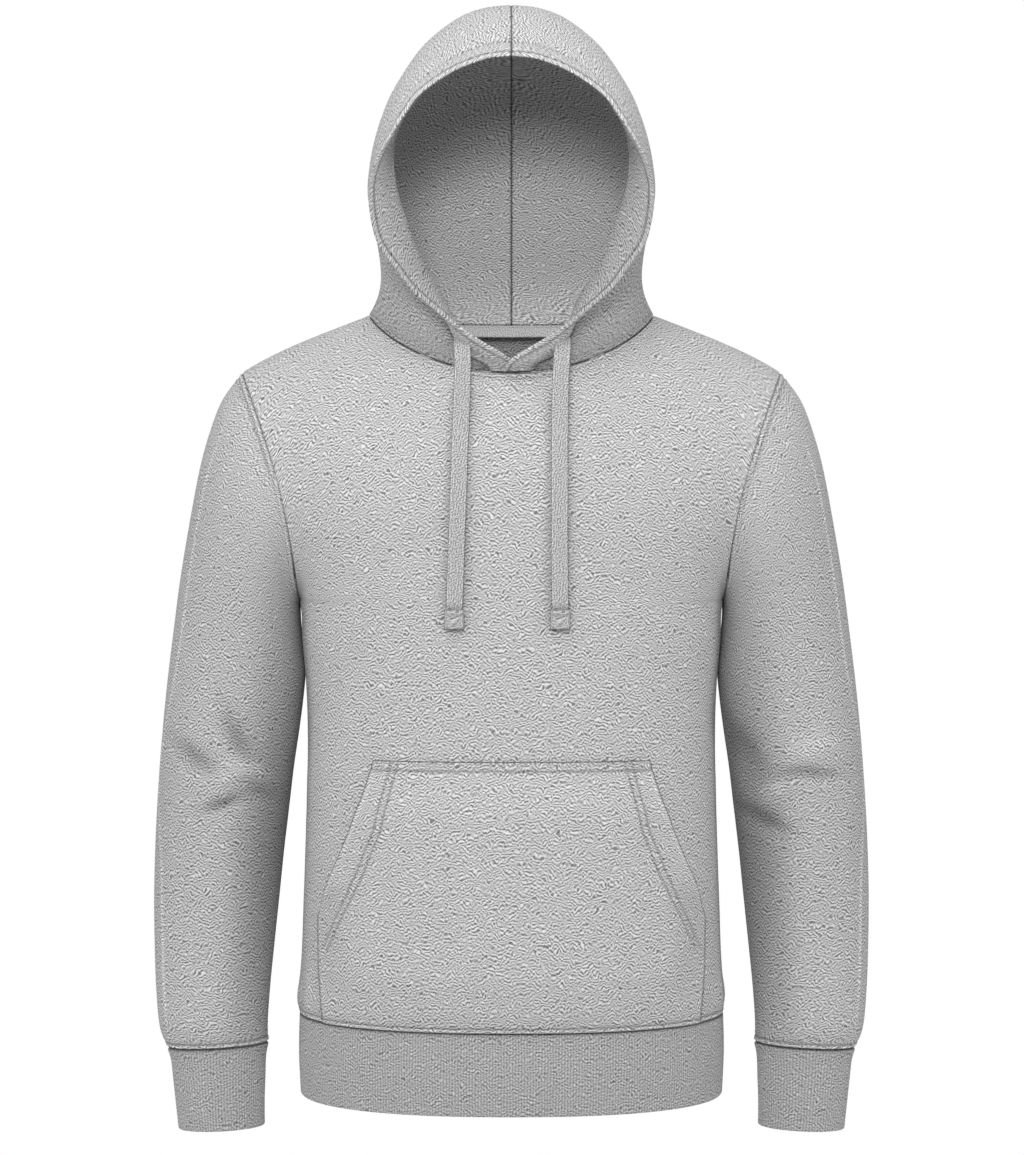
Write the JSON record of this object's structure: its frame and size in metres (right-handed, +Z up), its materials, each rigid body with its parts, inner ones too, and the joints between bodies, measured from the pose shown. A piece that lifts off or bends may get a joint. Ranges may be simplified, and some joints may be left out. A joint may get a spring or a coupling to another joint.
{
  "type": "hoodie",
  "caption": "Pullover hoodie in grey marl fleece: set-in sleeves, ribbed cuffs and waistband, kangaroo pocket, raised hood with flat drawcords, in its worn hollow form.",
  "frame": {"origin": "midway between the two neck points, at the height where the garment rests on the wearer's shoulders", "axes": "+X towards the wearer's left, +Y to the back, +Z up, so the front faces -Y"},
  "size_m": [0.6264, 0.2897, 0.9911],
  "materials": {
    "grey_marl_fleece": "brushed-back sweatshirt knit, light grey marl",
    "grey_marl_rib": "1x1 rib knit, grey marl",
    "grey_cord_tape": "flat woven cotton drawcord"
  },
  "bodies": {
    "root": {"front_panel": "grey_marl_fleece", "back_panel": "grey_marl_fleece", "waistband": "grey_marl_rib", "kangaroo_pocket": "grey_marl_fleece", "back_neck_tape": "grey_marl_fleece", "sleeve_left": "grey_marl_fleece", "sleeve_right": "grey_marl_fleece", "cuff_left": "grey_marl_rib", "cuff_right": "grey_marl_rib", "hood_left": "grey_marl_fleece", "hood_right": "grey_marl_fleece", "drawcord_left": "grey_cord_tape", "drawcord_right": "grey_cord_tape", "drawcord_tip_left": "grey_cord_tape", "drawcord_tip_right": "grey_cord_tape"}
  },
  "joints": []
}
